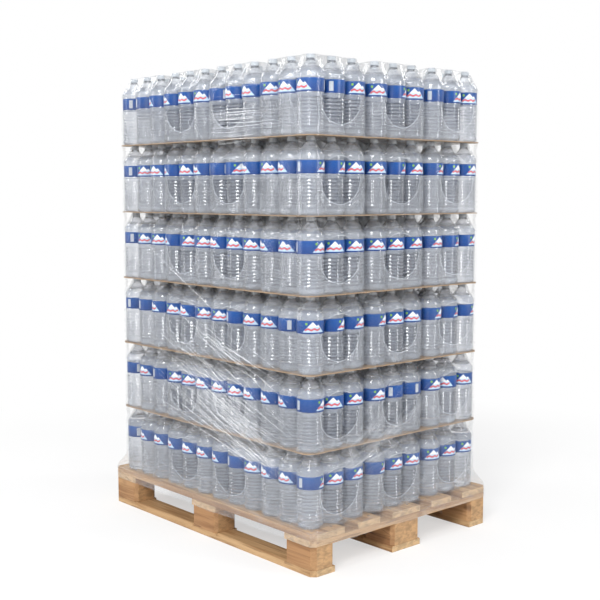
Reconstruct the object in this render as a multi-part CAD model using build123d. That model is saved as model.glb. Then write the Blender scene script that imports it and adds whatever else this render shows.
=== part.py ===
"""A loaded pallet of bottled water: a nine-block wooden pallet, six layers of shrink-film packs
of nine bottles, a kraft sheet between each two layers, and clear stretch wrap round the load.

Millimetres. X runs along the pallet's long side, Y along its short side and Z up, with the origin
at the middle of the pallet's underside.
"""
import os

from build123d import *

# Pallet
pallet_length = 1200.0
pallet_width = 900.0
board_thickness = 22.0
wide_board_width = 145.0
narrow_board_width = 110.0
cross_board_width = 145.0
block_length = 145.0
block_height = 78.0
outer_skid_width = 100.0
middle_skid_width = 145.0
pallet_corner_cut = 17.0
block_edge_cut = 13.0
truck_bevel_width = 14.0
truck_bevel_depth = 10.0

# Bottle, cap and label
body_radius = 45.8
foot_radius = 38.0
foot_height = 8.0
shoulder_height = 196.0
shoulder_rise = 47.0
neck_radius = 13.5
cap_radius = 15.0
cap_height = 14.0
cap_edge_cut = 1.2
label_base_height = 135.0
label_height = 44.0
label_thickness = 0.25
label_clearance = 0.05

# Shrink-film packs of nine bottles
bottles_per_pack_side = 3
bottle_gap = 0.4
film_thickness = 0.3
film_clearance = 0.3
film_shoulder_rise = 2.0
eye_width = 176.0
eye_height = 154.0
eye_centre_height = 117.0

# Load
layers = 6
pack_gap_along_length = 3.0
pack_gap_along_width = 15.0
core_clearance = 0.6
sheet_thickness = 3.0
sheet_overhang = 3.0
sheet_corner_radius = 40.0

# Stretch wrap
wrap_thickness = 0.3
wrap_clearance = 0.4
wrap_skirt_radius = 20.0
wrap_skirt_drop = 43.0
wrap_flare_height = 70.0

# Worked-out sizes
deck_top = board_thickness * 3 + block_height
block_base = board_thickness
cross_board_base = block_base + block_height
deck_base = cross_board_base + board_thickness
label_radius = body_radius + label_clearance + label_thickness
bottle_pitch = 2 * label_radius + bottle_gap
neck_height = shoulder_height + shoulder_rise
bottle_height = neck_height + cap_height
pack_inner = bottles_per_pack_side * bottle_pitch + 2 * film_clearance
pack_outer = pack_inner + 2 * film_thickness
pack_height = bottle_height + 2 * film_thickness
pack_pitch_x = pack_outer + pack_gap_along_length
pack_pitch_y = pack_outer + pack_gap_along_width
packs_in_row = int((pallet_length + pack_gap_along_length) // pack_pitch_x)
packs_in_column = int((pallet_width + pack_gap_along_width) // pack_pitch_y)
load_length = packs_in_row * pack_pitch_x - pack_gap_along_length
load_width = packs_in_column * pack_pitch_y - pack_gap_along_width
layer_pitch = pack_height + sheet_thickness
wrap_top = deck_top + (layers - 1) * layer_pitch + film_thickness + shoulder_height


def centred(count, pitch):
    """Places of a row of like things, evenly spaced about zero."""
    return [(index - (count - 1) / 2) * pitch for index in range(count)]


def save(name, solids):
    """Write one node: a single solid, or like solids that don't touch."""
    shape = solids[0] if len(solids) == 1 else Compound(children=solids)
    export_step(shape, os.path.join("parts", name + ".step"))


def plank(length, width, height):
    """A board or block that stands on z = 0."""
    return Box(length, width, height, align=(Align.CENTER, Align.CENTER, Align.MIN))


def upright_edges(solid, x_side, y_side):
    """The upright edges on the given sides, where 0 takes both sides of that axis."""
    centre = solid.center()
    edges = solid.edges().filter_by(Axis.Z)
    return [
        edge
        for edge in edges
        if (edge.center().X - centre.X) * x_side >= 0 and (edge.center().Y - centre.Y) * y_side >= 0
    ]


def deck_boards():
    """Five deck boards along X, wide and narrow by turns, with equal gaps between them."""
    widths = [wide_board_width, narrow_board_width, wide_board_width, narrow_board_width, wide_board_width]
    gap = (pallet_width - sum(widths)) / (len(widths) - 1)
    boards = []
    near_edge = -pallet_width / 2
    for width in widths:
        boards.append(Pos(0, near_edge + width / 2, deck_base) * plank(pallet_length, width, board_thickness))
        near_edge += width + gap
    boards[0] = chamfer(upright_edges(boards[0], 0, -1), pallet_corner_cut)
    boards[-1] = chamfer(upright_edges(boards[-1], 0, 1), pallet_corner_cut)
    return boards


def block_places():
    """Middles of the three columns of blocks along X, and of the three skids along Y."""
    column = (pallet_length - block_length) / 2
    skid = (pallet_width - outer_skid_width) / 2
    return (-column, 0, column), (-skid, 0, skid)


def cross_boards():
    """Three cross boards along Y, under the deck, over the columns of blocks."""
    columns, _ = block_places()
    boards = []
    for side, x in zip((-1, 0, 1), columns):
        board = Pos(x, 0, cross_board_base) * plank(cross_board_width, pallet_width, board_thickness)
        if side:
            board = chamfer(upright_edges(board, side, 0), pallet_corner_cut)
        boards.append(board)
    return boards


def blocks():
    """Nine blocks with bevelled upright edges, by the name of each."""
    columns, skids = block_places()
    named = {}
    for x_side, x in zip((-1, 0, 1), columns):
        for y_side, y in zip((-1, 0, 1), skids):
            width = outer_skid_width if y_side else middle_skid_width
            block = Pos(x, y, block_base) * plank(block_length, width, block_height)
            at_corner = x_side and y_side
            outer = upright_edges(block, x_side, y_side) if at_corner else []
            places = [edge.center() for edge in outer]
            if outer:
                block = chamfer(outer, pallet_corner_cut)
            plain = [
                edge
                for edge in block.edges().filter_by(Axis.Z)
                if all((edge.center() - place).length > 2 * pallet_corner_cut for place in places)
            ]
            block = chamfer(plain, block_edge_cut)
            column_name = {-1: "left", 0: "middle", 1: "right"}[x_side]
            skid_name = {-1: "front", 0: "centre", 1: "back"}[y_side]
            named["block_" + column_name + "_" + skid_name] = block
    return named


def truck_bevel(side, board_width):
    """The wedge taken off a bottom board's upper edge, so that a truck's wheels roll over it."""
    edge = side * board_width / 2
    with BuildSketch(Plane.YZ) as section:
        with BuildLine():
            Polyline(
                (edge, board_thickness),
                (edge - side * truck_bevel_width, board_thickness),
                (edge, board_thickness - truck_bevel_depth),
                close=True,
            )
        make_face()
    return extrude(section.sketch, amount=(pallet_length - 3 * block_length) / 4, both=True)


def bottom_boards():
    """Three bottom boards along X, one under each skid, bevelled between the blocks."""
    columns, skids = block_places()
    bays = [(columns[0] + columns[1]) / 2, (columns[1] + columns[2]) / 2]
    boards = []
    for y_side, y in zip((-1, 0, 1), skids):
        width = outer_skid_width if y_side else middle_skid_width
        board = plank(pallet_length, width, board_thickness)
        if y_side:
            board = chamfer(upright_edges(board, 0, y_side), pallet_corner_cut)
        for side in (-1, 1):
            for bay in bays:
                board -= Pos(bay, 0, 0) * truck_bevel(side, width)
        boards.append(Pos(0, y, 0) * board)
    return boards


def bottle():
    """A filled bottle up to its neck, turned about its own axis, standing on z = 0."""
    with BuildSketch(Plane.XZ) as section:
        with BuildLine():
            Polyline(
                (0, 0),
                (foot_radius, 0),
                (body_radius, foot_height),
                (body_radius, shoulder_height),
                (neck_radius, neck_height),
                (0, neck_height),
                close=True,
            )
        make_face()
    return revolve(section.sketch, axis=Axis.Z).solid()


def cap():
    """A screw cap that sits on the neck."""
    body = Cylinder(cap_radius, cap_height, align=(Align.CENTER, Align.CENTER, Align.MIN))
    body = chamfer(body.edges().sort_by(Axis.Z)[-1], cap_edge_cut)
    return Pos(0, 0, neck_height) * body


def label():
    """A thin printed sleeve round the body."""
    outer = Cylinder(label_radius, label_height, align=(Align.CENTER, Align.CENTER, Align.MIN))
    bore = Cylinder(body_radius + label_clearance, label_height, align=(Align.CENTER, Align.CENTER, Align.MIN))
    return Pos(0, 0, label_base_height) * (outer - bore).solid()


def film_form(inset):
    """The outside of a wrapped pack: straight to the shoulders, then in to the caps' tops."""
    side = pack_outer - 2 * inset
    side_radius = bottle_pitch / 2 + film_clearance + film_thickness - inset
    roof_radius = cap_radius + film_clearance + film_thickness - inset
    roof = 2 * (roof_radius + bottle_pitch * (bottles_per_pack_side - 1) / 2)
    sections = [
        Pos(0, 0, inset) * RectangleRounded(side, side, side_radius),
        Pos(0, 0, film_thickness + shoulder_height + film_shoulder_rise) * RectangleRounded(side, side, side_radius),
        Pos(0, 0, pack_height - inset) * RectangleRounded(roof, roof, roof_radius),
    ]
    return loft(sections, ruled=True)


def pack_film(eye_plane):
    """A pack's shrunk film, with an oval eye left open on the two faces where the sleeve ends."""
    shell = film_form(0) - film_form(film_thickness)
    eye = eye_plane * Pos(0, eye_centre_height) * Ellipse(eye_width / 2, eye_height / 2)
    return (shell - extrude(eye, amount=pack_outer, both=True)).solid()


def pack_places():
    """Each pack's column and row and the middle of its base."""
    columns = centred(packs_in_row, pack_pitch_x)
    rows = centred(packs_in_column, pack_pitch_y)
    return [(column, row, x, y) for column, x in enumerate(columns) for row, y in enumerate(rows)]


def in_view(column, row, column_of_bottle, row_of_bottle):
    """Whether a bottle stands in the outer ring of its layer."""
    last = bottles_per_pack_side - 1
    at_ends = (column == 0 and column_of_bottle == 0) or (
        column == packs_in_row - 1 and column_of_bottle == last
    )
    at_sides = (row == 0 and row_of_bottle == 0) or (row == packs_in_column - 1 and row_of_bottle == last)
    return at_ends or at_sides


def bottle_places(whole_layer):
    """Axes of a layer's bottles: all of them, or the outer ring alone."""
    steps = centred(bottles_per_pack_side, bottle_pitch)
    return [
        (pack_x + dx, pack_y + dy)
        for column, row, pack_x, pack_y in pack_places()
        for i, dx in enumerate(steps)
        for j, dy in enumerate(steps)
        if whole_layer or in_view(column, row, i, j)
    ]


def layer_core():
    """One plain block in each pack, in place of the bottles behind the outer ring."""
    steps = centred(bottles_per_pack_side, bottle_pitch)
    cores = []
    for column, row, pack_x, pack_y in pack_places():
        hidden = [
            (dx, dy)
            for i, dx in enumerate(steps)
            for j, dy in enumerate(steps)
            if not in_view(column, row, i, j)
        ]
        xs = [dx for dx, _ in hidden]
        ys = [dy for _, dy in hidden]
        length = max(xs) - min(xs) + bottle_pitch - 2 * core_clearance
        width = max(ys) - min(ys) + bottle_pitch - 2 * core_clearance
        block = plank(length, width, shoulder_height)
        block = fillet(block.edges().filter_by(Axis.Z), body_radius)
        cores.append(Pos(pack_x + (max(xs) + min(xs)) / 2, pack_y + (max(ys) + min(ys)) / 2, 0) * block)
    return cores


def layer_sheet():
    """A kraft sheet that covers a layer, a little larger than the packs."""
    return extrude(
        RectangleRounded(
            load_length + 2 * sheet_overhang, load_width + 2 * sheet_overhang, sheet_corner_radius
        ),
        amount=sheet_thickness,
    )


def wrap_form(inset):
    """The stretch wrap's run: a skirt over the deck's edge, a slope in to the load, then straight up."""
    skirt = wrap_clearance + wrap_thickness - inset
    load = sheet_overhang + wrap_clearance + wrap_thickness - inset
    skirt_size = (pallet_length + 2 * skirt, pallet_width + 2 * skirt, wrap_skirt_radius - inset)
    load_radius = sheet_corner_radius + wrap_clearance + wrap_thickness - inset
    load_size = (load_length + 2 * load, load_width + 2 * load, load_radius)
    sections = [
        Pos(0, 0, deck_top - wrap_skirt_drop) * RectangleRounded(*skirt_size),
        Pos(0, 0, deck_top) * RectangleRounded(*skirt_size),
        Pos(0, 0, deck_top + wrap_flare_height) * RectangleRounded(*load_size),
        Pos(0, 0, wrap_top) * RectangleRounded(*load_size),
    ]
    return loft(sections, ruled=True)


def stretch_wrap():
    """The clear wrap wound round the whole load and the deck's edge."""
    return (wrap_form(0) - wrap_form(wrap_thickness)).solid()


def save_pallet():
    for number, board in enumerate(deck_boards(), start=1):
        save("deck_board_" + str(number), [board])
    for number, board in enumerate(cross_boards(), start=1):
        save("cross_board_" + str(number), [board])
    for name, block in blocks().items():
        save(name, [block])
    for number, board in enumerate(bottom_boards(), start=1):
        save("bottom_board_" + str(number), [board])


def save_layer(number, base):
    """One layer of packs that stands on the height given."""
    top_layer = number == layers
    places = [Pos(x, y, base + film_thickness) for x, y in bottle_places(top_layer)]
    for node, piece in (("bottles", bottle()), ("caps", cap()), ("labels", label())):
        save(node + "_layer_" + str(number), [place * piece for place in places])
    end_film = pack_film(Plane.YZ)
    side_film = pack_film(Plane.XZ)
    films = [
        Pos(x, y, base) * (end_film if column in (0, packs_in_row - 1) else side_film)
        for column, row, x, y in pack_places()
    ]
    save("pack_film_layer_" + str(number), films)
    if not top_layer:
        save("core_layer_" + str(number), [Pos(0, 0, base + film_thickness) * core for core in layer_core()])
        save("layer_sheet_" + str(number), [Pos(0, 0, base + pack_height) * layer_sheet()])


def main():
    os.makedirs("parts", exist_ok=True)
    save_pallet()
    for index in range(layers):
        save_layer(index + 1, deck_top + index * layer_pitch)
    save("stretch_wrap", [stretch_wrap()])


main()
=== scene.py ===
"""Dresses a packed pallet of bottled water: ribbed bottles, caps, labels, shrink-film packs, kraft
sheets, stretch wrap and a nailed wooden pallet, on a plain white stage.

Metres. X runs along the pallet's long side, Y along its short side and Z up.
"""
import math
import random

import bmesh
import bpy
import numpy as np
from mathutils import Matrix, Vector


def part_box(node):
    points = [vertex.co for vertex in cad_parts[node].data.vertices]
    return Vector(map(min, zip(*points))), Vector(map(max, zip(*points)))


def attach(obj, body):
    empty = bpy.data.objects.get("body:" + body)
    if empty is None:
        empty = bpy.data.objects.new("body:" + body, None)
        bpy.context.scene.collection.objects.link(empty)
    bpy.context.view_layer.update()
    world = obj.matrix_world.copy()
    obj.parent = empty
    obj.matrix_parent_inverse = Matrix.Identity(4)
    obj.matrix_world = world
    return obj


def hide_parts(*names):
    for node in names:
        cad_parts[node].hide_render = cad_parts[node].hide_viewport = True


bl_info = {
    "name": "Pallet of Bottled Water",
    "version": (1, 0, 0),
    "blender": (4, 5, 0),
    "location": "View3D > Sidebar > Water Pallet",
    "description": "Builds the bottles, films, sheets, pallet and stage round the packed frame",
    "category": "Object",
}

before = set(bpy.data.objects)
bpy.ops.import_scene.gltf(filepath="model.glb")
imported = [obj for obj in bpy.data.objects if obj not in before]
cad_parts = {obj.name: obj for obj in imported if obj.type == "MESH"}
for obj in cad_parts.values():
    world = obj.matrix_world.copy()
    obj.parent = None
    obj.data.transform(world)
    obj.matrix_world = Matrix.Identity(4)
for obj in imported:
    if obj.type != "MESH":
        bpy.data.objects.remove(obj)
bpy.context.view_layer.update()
BOXES = {node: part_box(node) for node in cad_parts}

BODY = "root"
FULL_TURN = 2 * math.pi
QUARTER_TURN = math.pi / 2
MM = 0.001
LAYERS = sum(1 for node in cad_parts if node.startswith("bottles_layer_"))
TOP = LAYERS
PACK_SIDE = 3
CAP_SPACING = 35 * MM
SEEDS = {"bottles": 11, "caps": 12, "labels": 13, "packs": 21, "wrap": 31, "creases": 32, "sheets": 40}


def srgb(red, green, blue):
    """A colour as a screen shows it, 0 to 255, in the linear values that shaders take."""
    def linear(value):
        value /= 255
        return value / 12.92 if value <= 0.04045 else ((value + 0.055) / 1.055) ** 2.4

    return linear(red), linear(green), linear(blue)


def opaque(colour, share=1.0):
    """A colour with full alpha, darkened to a share of itself."""
    return (*(value * share for value in colour), 1.0)


WHITE = (1.0, 1.0, 1.0, 1.0)


def bottle_axes(layer):
    """The upright axes of a layer's bottles, read from the tops of its caps."""
    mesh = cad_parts["caps_layer_%d" % layer].data
    points = np.empty(len(mesh.vertices) * 3)
    mesh.vertices.foreach_get("co", points)
    points = points.reshape(-1, 3)
    points = points[points[:, 2] > points[:, 2].max() - 0.1 * MM]
    groups = []
    for x, y, _ in points:
        for group in groups:
            if math.hypot(x - group[0][0], y - group[0][1]) < CAP_SPACING:
                group.append((x, y))
                break
        else:
            groups.append([(x, y)])
    axes = []
    for group in groups:
        xs = [x for x, _ in group]
        ys = [y for _, y in group]
        axes.append(((min(xs) + max(xs)) / 2, (min(ys) + max(ys)) / 2))
    return axes


def steps_of(values):
    """The distinct places among values, in order."""
    ordered = []
    for value in sorted(values):
        if not ordered or value - ordered[-1] > CAP_SPACING:
            ordered.append(value)
    return ordered


def height_of(node):
    low, high = BOXES[node]
    return high.z - low.z


def layer_base(layer):
    return BOXES["bottles_layer_%d" % layer][0].z


ALL_AXES = bottle_axes(TOP)
COLUMNS = steps_of(x for x, _ in ALL_AXES)
ROWS = steps_of(y for _, y in ALL_AXES)
PITCH = COLUMNS[1] - COLUMNS[0]
LAYER_PITCH = layer_base(2) - layer_base(1)
BODY_RADIUS = BOXES["bottles_layer_1"][1].x - COLUMNS[-1]
CAP_RADIUS = BOXES["caps_layer_1"][1].x - COLUMNS[-1]
CAP_HEIGHT = height_of("caps_layer_1")
NECK_HEIGHT = height_of("bottles_layer_1")
NECK_RADIUS = 13.5 * MM
LABEL_BASE = BOXES["labels_layer_1"][0].z - layer_base(1)
LABEL_HEIGHT = height_of("labels_layer_1")
LABEL_RADIUS = BOXES["labels_layer_1"][1].x - COLUMNS[-1]
PACK_HEIGHT = height_of("pack_film_layer_1")
PACK_RADIUS = BOXES["pack_film_layer_1"][1].x - COLUMNS[-1]
SHOULDER = height_of("core_layer_1")
DECK_TOP = BOXES["deck_board_1"][1].z
WRAP_LOW, WRAP_HIGH = BOXES["stretch_wrap"]
SHEET_HIGH = BOXES["layer_sheet_1"][1]


def ring_of(x, y):
    """How many bottles stand between an axis and the load's side, 0 on the outside."""
    column = min(range(len(COLUMNS)), key=lambda i: abs(COLUMNS[i] - x))
    row = min(range(len(ROWS)), key=lambda i: abs(ROWS[i] - y))
    return min(column, len(COLUMNS) - 1 - column, row, len(ROWS) - 1 - row)


def shown_depth(layer):
    """How many rows in from the side a layer's caps and labels are made: all of them on the top layer."""
    return len(ROWS) if layer == TOP else 1


def operation(kind, flipped=False):
    """A method for Maths that joins a value and another in one kind of Math node."""
    def method(self, other=0.0):
        first, second = (other, self) if flipped else (self, other)
        node = self.finish.add("ShaderNodeMath", {"operation": kind}, {0: first, 1: second})
        return Maths(self.finish, node.outputs[0])

    return method


class Maths:
    """A shader value that Python's operators work on, each adding a Math node."""

    def __init__(self, finish, socket):
        self.finish = finish
        self.socket = socket

    __add__ = __radd__ = operation("ADD")
    __sub__ = operation("SUBTRACT")
    __rsub__ = operation("SUBTRACT", flipped=True)
    __mul__ = __rmul__ = operation("MULTIPLY")
    __truediv__ = operation("DIVIDE")
    __pow__ = operation("POWER")
    __gt__ = operation("GREATER_THAN")
    __lt__ = operation("LESS_THAN")
    __abs__ = operation("ABSOLUTE")
    lesser = operation("MINIMUM")
    fraction = operation("FRACT")
    sine = operation("SINE")

    def within(self, low, high):
        return (self > low) * (self < high)

    def ramp(self, low, high):
        """0 at low and 1 at high, smooth between."""
        node = self.finish.add(
            "ShaderNodeMapRange",
            {"interpolation_type": "SMOOTHSTEP"},
            {"Value": self, "From Min": low, "From Max": high},
        )
        return Maths(self.finish, node.outputs["Result"])


class Finish:
    """The node tree of one material, or of the world."""

    def __init__(self, name, world=None):
        self.owner = world or bpy.data.materials.new(name)
        self.owner.use_nodes = True
        self.tree = self.owner.node_tree
        self.tree.nodes.clear()
        self.output = self.add("ShaderNodeOutputWorld" if world else "ShaderNodeOutputMaterial")

    def add(self, kind, settings=None, sockets=None):
        """A node of the kind given: its settings first, then its sockets' values or links."""
        node = self.tree.nodes.new(kind)
        for name, value in (settings or {}).items():
            setattr(node, name, value)
        for name, value in (sockets or {}).items():
            self.feed(node.inputs[name], value)
        return node

    def feed(self, socket, value):
        if isinstance(value, Maths):
            value = value.socket
        if isinstance(value, bpy.types.NodeSocket):
            self.tree.links.new(value, socket)
        else:
            socket.default_value = value

    def parts_of(self, vector):
        """A vector's X, Y and Z values."""
        parts = self.add("ShaderNodeSeparateXYZ", None, {"Vector": vector}).outputs
        return [Maths(self, part) for part in parts]

    def place(self):
        """Object coordinates, as a vector."""
        return self.add("ShaderNodeTexCoord").outputs["Object"]

    def stretched(self, vector, scale):
        return self.add("ShaderNodeMapping", None, {"Vector": vector, "Scale": scale}).outputs[0]

    def noise(self, vector, scale, detail=3.0, roughness=0.55, distortion=0.0):
        """Noise of one scale, or of a scale for each axis."""
        if isinstance(scale, tuple):
            vector = self.stretched(vector, scale)
            scale = 1.0
        sockets = {"Vector": vector, "Scale": scale, "Detail": detail, "Roughness": roughness}
        node = self.add("ShaderNodeTexNoise", None, {**sockets, "Distortion": distortion})
        return Maths(self, node.outputs["Fac"])

    def mixed(self, factor, first, second, blend="MIX"):
        """A colour between two colours."""
        node = self.add("ShaderNodeMix", {"data_type": "RGBA", "blend_type": blend, "clamp_factor": True})
        self.feed(node.inputs[0], factor)
        self.feed(node.inputs[6], first)
        self.feed(node.inputs[7], second)
        return node.outputs[2]

    def painted(self, tone, *coats):
        """A colour under coats of other colours, each with the share that it covers."""
        for share, colour in coats:
            tone = self.mixed(share, tone, colour)
        return tone

    def bump(self, height, distance, strength):
        sockets = {"Height": height, "Distance": distance, "Strength": strength}
        return self.add("ShaderNodeBump", None, sockets).outputs["Normal"]

    def surface(self, **sockets):
        """A Principled shader whose sockets are named in words joined by underscores."""
        shader = self.add("ShaderNodeBsdfPrincipled")
        for name, value in sockets.items():
            self.feed(shader.inputs[name.replace("_", " ")], value)
        return shader.outputs[0]

    def blend(self, share, first, second):
        """A shader between two shaders."""
        return self.add("ShaderNodeMixShader", None, {0: share, 1: first, 2: second}).outputs[0]

    def seen_straight(self):
        """1 for what the camera sees, also in a mirror or through glass, and 0 for light cast on things."""
        path = self.add("ShaderNodeLightPath").outputs
        camera, mirror, glass = (
            Maths(self, path["Is %s Ray" % kind]) for kind in ("Camera", "Glossy", "Transmission")
        )
        return camera + mirror + glass > 0.5

    def finish_with(self, shader):
        self.tree.links.new(shader, self.output.inputs["Surface"])
        return self.owner


def height_in_layer(z):
    """Height above the foot of its layer, for a shader's Z value."""
    return ((z - layer_base(1)) / LAYER_PITCH).fraction() * LAYER_PITCH


def length_property(name, description, millimetres):
    default = millimetres * MM
    return bpy.props.FloatProperty(name=name, description=description, default=default, unit="LENGTH")


def colour_property(name, description, *levels):
    return bpy.props.FloatVectorProperty(
        name=name, description=description, subtype="COLOR", default=srgb(*levels)
    )


def share_property(name, description, default):
    return bpy.props.FloatProperty(name=name, description=description, default=default, subtype="FACTOR")


def count_property(name, description, default, least):
    return bpy.props.IntProperty(name=name, description=description, default=default, min=least)


def angle_property(name, description, degrees):
    default = math.radians(degrees)
    return bpy.props.FloatProperty(name=name, description=description, default=default, subtype="ANGLE")


class BottleSettings(bpy.types.PropertyGroup):
    """Sizes and colours of the bottles, caps and labels that the frame leaves out."""

    rib_count: count_property("Ribs", "Moulded ribs below the waist", 8, 1)
    rib_base: length_property("Rib base", "Height of the lowest groove", 24)
    rib_top: length_property("Rib top", "Height of the highest groove", 117)
    rib_depth: length_property("Rib depth", "Depth of the grooves between ribs", 4.0)
    waist_depth: length_property("Waist depth", "Depth of the groove under the label", 3.2)
    label_recess: length_property("Label recess", "How far the label panel is set in", 0.5)
    water_height: length_property("Water height", "Height of the water in a bottle", 212)
    wall: length_property("Wall", "Wall thickness round the air in the shoulder", 0.7)
    sides: count_property("Sides", "Facets round an outer bottle", 20, 8)
    inner_sides: count_property("Inner sides", "Facets round a bottle behind the outer ring", 12, 6)
    tint: colour_property("Tint", "Colour of the plastic and water", 252, 253, 255)
    milk_tint: colour_property("Milk tint", "Colour of the light that a bottle scatters", 216, 227, 243)
    # Painted shade: this darker colour is painted into the grooves between the ribs.
    painted_groove_shade: colour_property("Painted groove shade", "Colour of that light in the grooves", 66, 80, 110)
    milk_share: share_property("Milk share", "Share of light that plastic and water scatter", 0.27)
    deep_tint: colour_property("Deep tint", "Colour of the bottles deep in the load", 226, 232, 238)
    cap_tint: colour_property("Cap tint", "Colour of the caps", 206, 214, 222)
    label_blue: colour_property("Label blue", "Ground colour of the labels", 0, 78, 154)


class FilmSettings(bpy.types.PropertyGroup):
    """Sizes and finish of the shrink film and the stretch wrap."""

    wall_sag: length_property("Wall sag", "How far the film draws in between bottles", 4.5)
    shoulder_sag: length_property("Shoulder sag", "How far the film draws in between shoulders", 13)
    roof_sag: length_property("Roof sag", "How far the film hangs between caps", 7)
    eye_width: length_property("Eye width", "Width of the oval openings", 181)
    eye_height: length_property("Eye height", "Height of the oval openings", 158)
    eye_centre: length_property("Eye centre", "Height of the middle of the openings", 115)
    rim_width: length_property("Rim width", "Width of the thick rim round an opening", 1.8)
    pack_haze: share_property("Pack haze", "Share of light that the shrink film scatters", 0.135)
    wrap_haze: share_property("Wrap haze", "Share of light that the stretch wrap scatters", 0.012)
    creases: count_property("Creases", "Creases in each fan on the long sides of the wrap", 80, 0)
    crease_width: length_property("Crease width", "Width of the widest creases", 1.6)


class TimberSettings(bpy.types.PropertyGroup):
    """Finish of the pallet and the sheets."""

    edge_round: length_property("Edge round", "Worn rounding of the boards' edges", 1.6)
    nail_radius: length_property("Nail radius", "Radius of the nail heads", 4.5)
    deck_light: colour_property("Deck light", "Pale wood of the boards", 210, 177, 134)
    deck_dark: colour_property("Deck dark", "Grain of the boards", 166, 128, 86)
    block_light: colour_property("Block light", "Pale wood of the blocks", 196, 156, 112)
    block_dark: colour_property("Block dark", "Grain of the blocks", 158, 118, 78)
    kraft: colour_property("Kraft", "Colour of the layer sheets", 170, 143, 116)
    sheet_wave: length_property("Sheet wave", "How far a sheet's edge droops between bottles", 3)


class StageSettings(bpy.types.PropertyGroup):
    """Camera, floor and light."""

    lens: bpy.props.FloatProperty(name="Lens", description="Focal length in millimetres", default=63.34)
    camera_place: bpy.props.FloatVectorProperty(
        name="Camera place", description="Where the camera stands", subtype="TRANSLATION",
        default=(3.071, -2.717, 1.258),
    )
    camera_turn: angle_property("Camera turn", "Turn of the camera about Z", 48.2)
    camera_dip: angle_property("Camera dip", "How far the camera looks down", 5.77)
    floor_size: length_property("Floor size", "Side of the floor", 40000)
    world_light: bpy.props.FloatProperty(
        name="World light", description="Light from the white surroundings", default=0.32
    )


def placed(name, data):
    """A new object in the scene, at the origin."""
    thing = bpy.data.objects.new(name, data)
    bpy.context.scene.collection.objects.link(thing)
    return thing


def discard(thing):
    mesh = thing.data
    bpy.data.objects.remove(thing)
    bpy.data.meshes.remove(mesh)


def dress(piece, slot, *nodes):
    """Hand a finished piece to the frame in place of the nodes given."""
    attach(piece, BODY)
    if nodes:
        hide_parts(*nodes)


class Mesh:
    """Points, faces, face materials and corner UVs, gathered for one object."""

    def __init__(self):
        self.points = []
        self.faces = []
        self.slots = []
        self.uvs = []

    def face(self, corners, slot=0):
        self.faces.append(corners)
        self.slots.append(slot)

    def loop(self, points):
        """Add points and give their indices."""
        start = len(self.points)
        self.points.extend(points)
        return list(range(start, len(self.points)))

    def join(self, low, high, slot=0, closed=True, skip=()):
        """Faces between two loops of as many points each, but for the columns to skip."""
        count = len(low)
        for i in range(count if closed else count - 1):
            if i not in skip:
                j = (i + 1) % count
                self.face((low[i], low[j], high[j], high[i]), slot)

    def rings(self, rings, slot=0, closed=True):
        """Loops of as many points each, the lowest first, with faces between them."""
        loops = [self.loop(ring) for ring in rings]
        for low, high in zip(loops, loops[1:]):
            self.join(low, high, slot, closed)
        return loops

    def fan(self, loop, centre, upward=True):
        """Close a loop with a middle point."""
        (middle,) = self.loop([centre])
        for i, j in zip(loop, loop[1:] + loop[:1]):
            self.face((i, j, middle) if upward else (j, i, middle))

    def shell(self, rings, foot, top):
        """Rings about the Z axis, closed by a middle point at the foot and one at the top."""
        loops = self.rings(rings)
        self.fan(loops[0], (0, 0, foot), upward=False)
        self.fan(loops[-1], (0, 0, top))

    def build(self, name, materials=(), smooth=True):
        mesh = bpy.data.meshes.new(name)
        mesh.from_pydata(self.points, [], self.faces)
        for material in materials:
            mesh.materials.append(material)
        mesh.polygons.foreach_set("material_index", self.slots)
        mesh.polygons.foreach_set("use_smooth", [smooth] * len(self.faces))
        layer = mesh.uv_layers.new(name="UVMap")
        layer.data.foreach_set("uv", self.uvs or [0.0] * (2 * len(layer.data)))
        mesh.update()
        return placed(name, mesh)


def circle(radius, height, sides, lobes=0, notch=0.0):
    """A level ring of points, with notches drawn in where lobes are asked for."""
    ring = []
    for i in range(sides):
        angle = FULL_TURN * i / sides
        reach = radius - notch * max(0.0, math.cos(lobes * angle)) ** 3 if lobes else radius
        ring.append((reach * math.cos(angle), reach * math.sin(angle), height))
    return ring


REPEAT_TREE = "Repeat on points"
REPEAT_INPUTS = {
    "Geometry": "Geometry",
    "Shape": "Object",
    "Size": "Float",
    "Lean": "Float",
    "Seed": "Int",
    "Material": "Material",
}


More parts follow.
